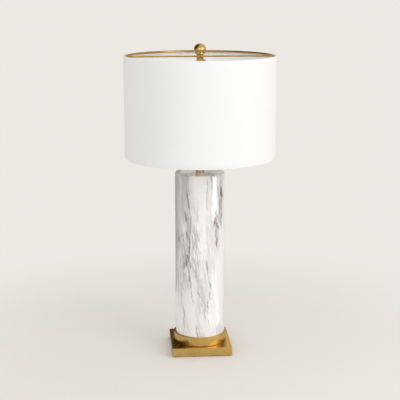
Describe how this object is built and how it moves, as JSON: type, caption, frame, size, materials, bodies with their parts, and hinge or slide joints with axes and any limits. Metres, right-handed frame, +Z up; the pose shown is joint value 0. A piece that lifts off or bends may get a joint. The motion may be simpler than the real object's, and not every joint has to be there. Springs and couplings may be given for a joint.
{
  "type": "table lamp",
  "caption": "Table lamp with a straight marbled ceramic column on a square brass plate, a white drum shade on a harp and a ball finial.",
  "frame": {"origin": "on the table under the felt pad, on the lamp's vertical axis", "axes": "+Z up along the column; -Y the front; +Y the back, with the cord inlet; +X the switch side"},
  "size_m": [0.3556, 0.3554, 0.7415],
  "materials": {
    "satin_brass": "satin",
    "bright_brass": "polished",
    "marbled_glaze": "gloss",
    "green_felt": "matte",
    "cast_iron": "matte",
    "black_plastic": "satin",
    "rubber": "matte",
    "zinc_steel": "satin",
    "grey_fibre": "matte",
    "aluminium": "satin",
    "white_plastic": "satin",
    "frosted_plastic": "satin",
    "white_fabric": "matte"
  },
  "bodies": {
    "lamp_stand": {"felt_pad": "green_felt", "base_plate": "satin_brass", "base_weight": "cast_iron", "cord_grommet": "black_plastic", "column_collar": "satin_brass", "foot_gasket": "rubber", "ceramic_column": "marbled_glaze", "lamp_pipe": "zinc_steel", "bottom_washer": "zinc_steel", "lock_washer": "zinc_steel", "bottom_nut": "zinc_steel", "brass_neck": "satin_brass", "harp_saddle": "bright_brass", "socket_cap": "bright_brass", "socket_shell": "bright_brass", "socket_liner": "grey_fibre", "socket_core": "black_plastic", "terminal_screws": "bright_brass", "screw_shell": "aluminium", "centre_contact": "bright_brass"},
    "switch": {"switch_shaft": "zinc_steel", "switch_knob": "black_plastic"},
    "bulb": {"bulb_contact": "bright_brass", "bulb_insulator": "black_plastic", "bulb_cap": "aluminium", "bulb_housing": "white_plastic", "bulb_dome": "frosted_plastic"},
    "harp_frame": {"harp": "bright_brass", "harp_stud": "bright_brass", "shade_riser": "satin_brass"},
    "front_sleeve": {"harp_sleeve_front": "bright_brass"},
    "back_sleeve": {"harp_sleeve_back": "bright_brass"},
    "shade": {"spider_hub": "satin_brass", "spider_arms": "satin_brass", "shade_top_ring": "satin_brass", "shade_bottom_ring": "satin_brass", "shade_liner": "white_plastic", "shade_fabric": "white_fabric"},
    "finial": {"ball_finial": "satin_brass"}
  },
  "joints": [
    {"name": "switch_turn", "type": "hinge", "parent": "lamp_stand", "child": "switch", "pos_m": [0.03, 0, 0.5113], "axis": [1, 0, 0], "continuous": true},
    {"name": "bulb_turn", "type": "hinge", "parent": "lamp_stand", "child": "bulb", "pos_m": [0, 0, 0.535], "axis": [0, 0, 1], "continuous": true},
    {"name": "harp_lift", "type": "slide", "parent": "lamp_stand", "child": "harp_frame", "axis": [0, 0, 1], "range_m": [0, 0.2]},
    {"name": "front_sleeve_slide", "type": "slide", "parent": "harp_frame", "child": "front_sleeve", "axis": [0, 0, 1], "range_m": [0, 0.016]},
    {"name": "back_sleeve_slide", "type": "slide", "parent": "harp_frame", "child": "back_sleeve", "axis": [0, 0, 1], "range_m": [0, 0.016]},
    {"name": "shade_swivel", "type": "hinge", "parent": "harp_frame", "child": "shade", "pos_m": [0, 0, 0.7115], "axis": [0, 0, 1], "continuous": true},
    {"name": "finial_turn", "type": "hinge", "parent": "harp_frame", "child": "finial", "pos_m": [0, 0, 0.727], "axis": [0, 0, 1], "continuous": true}
  ]
}
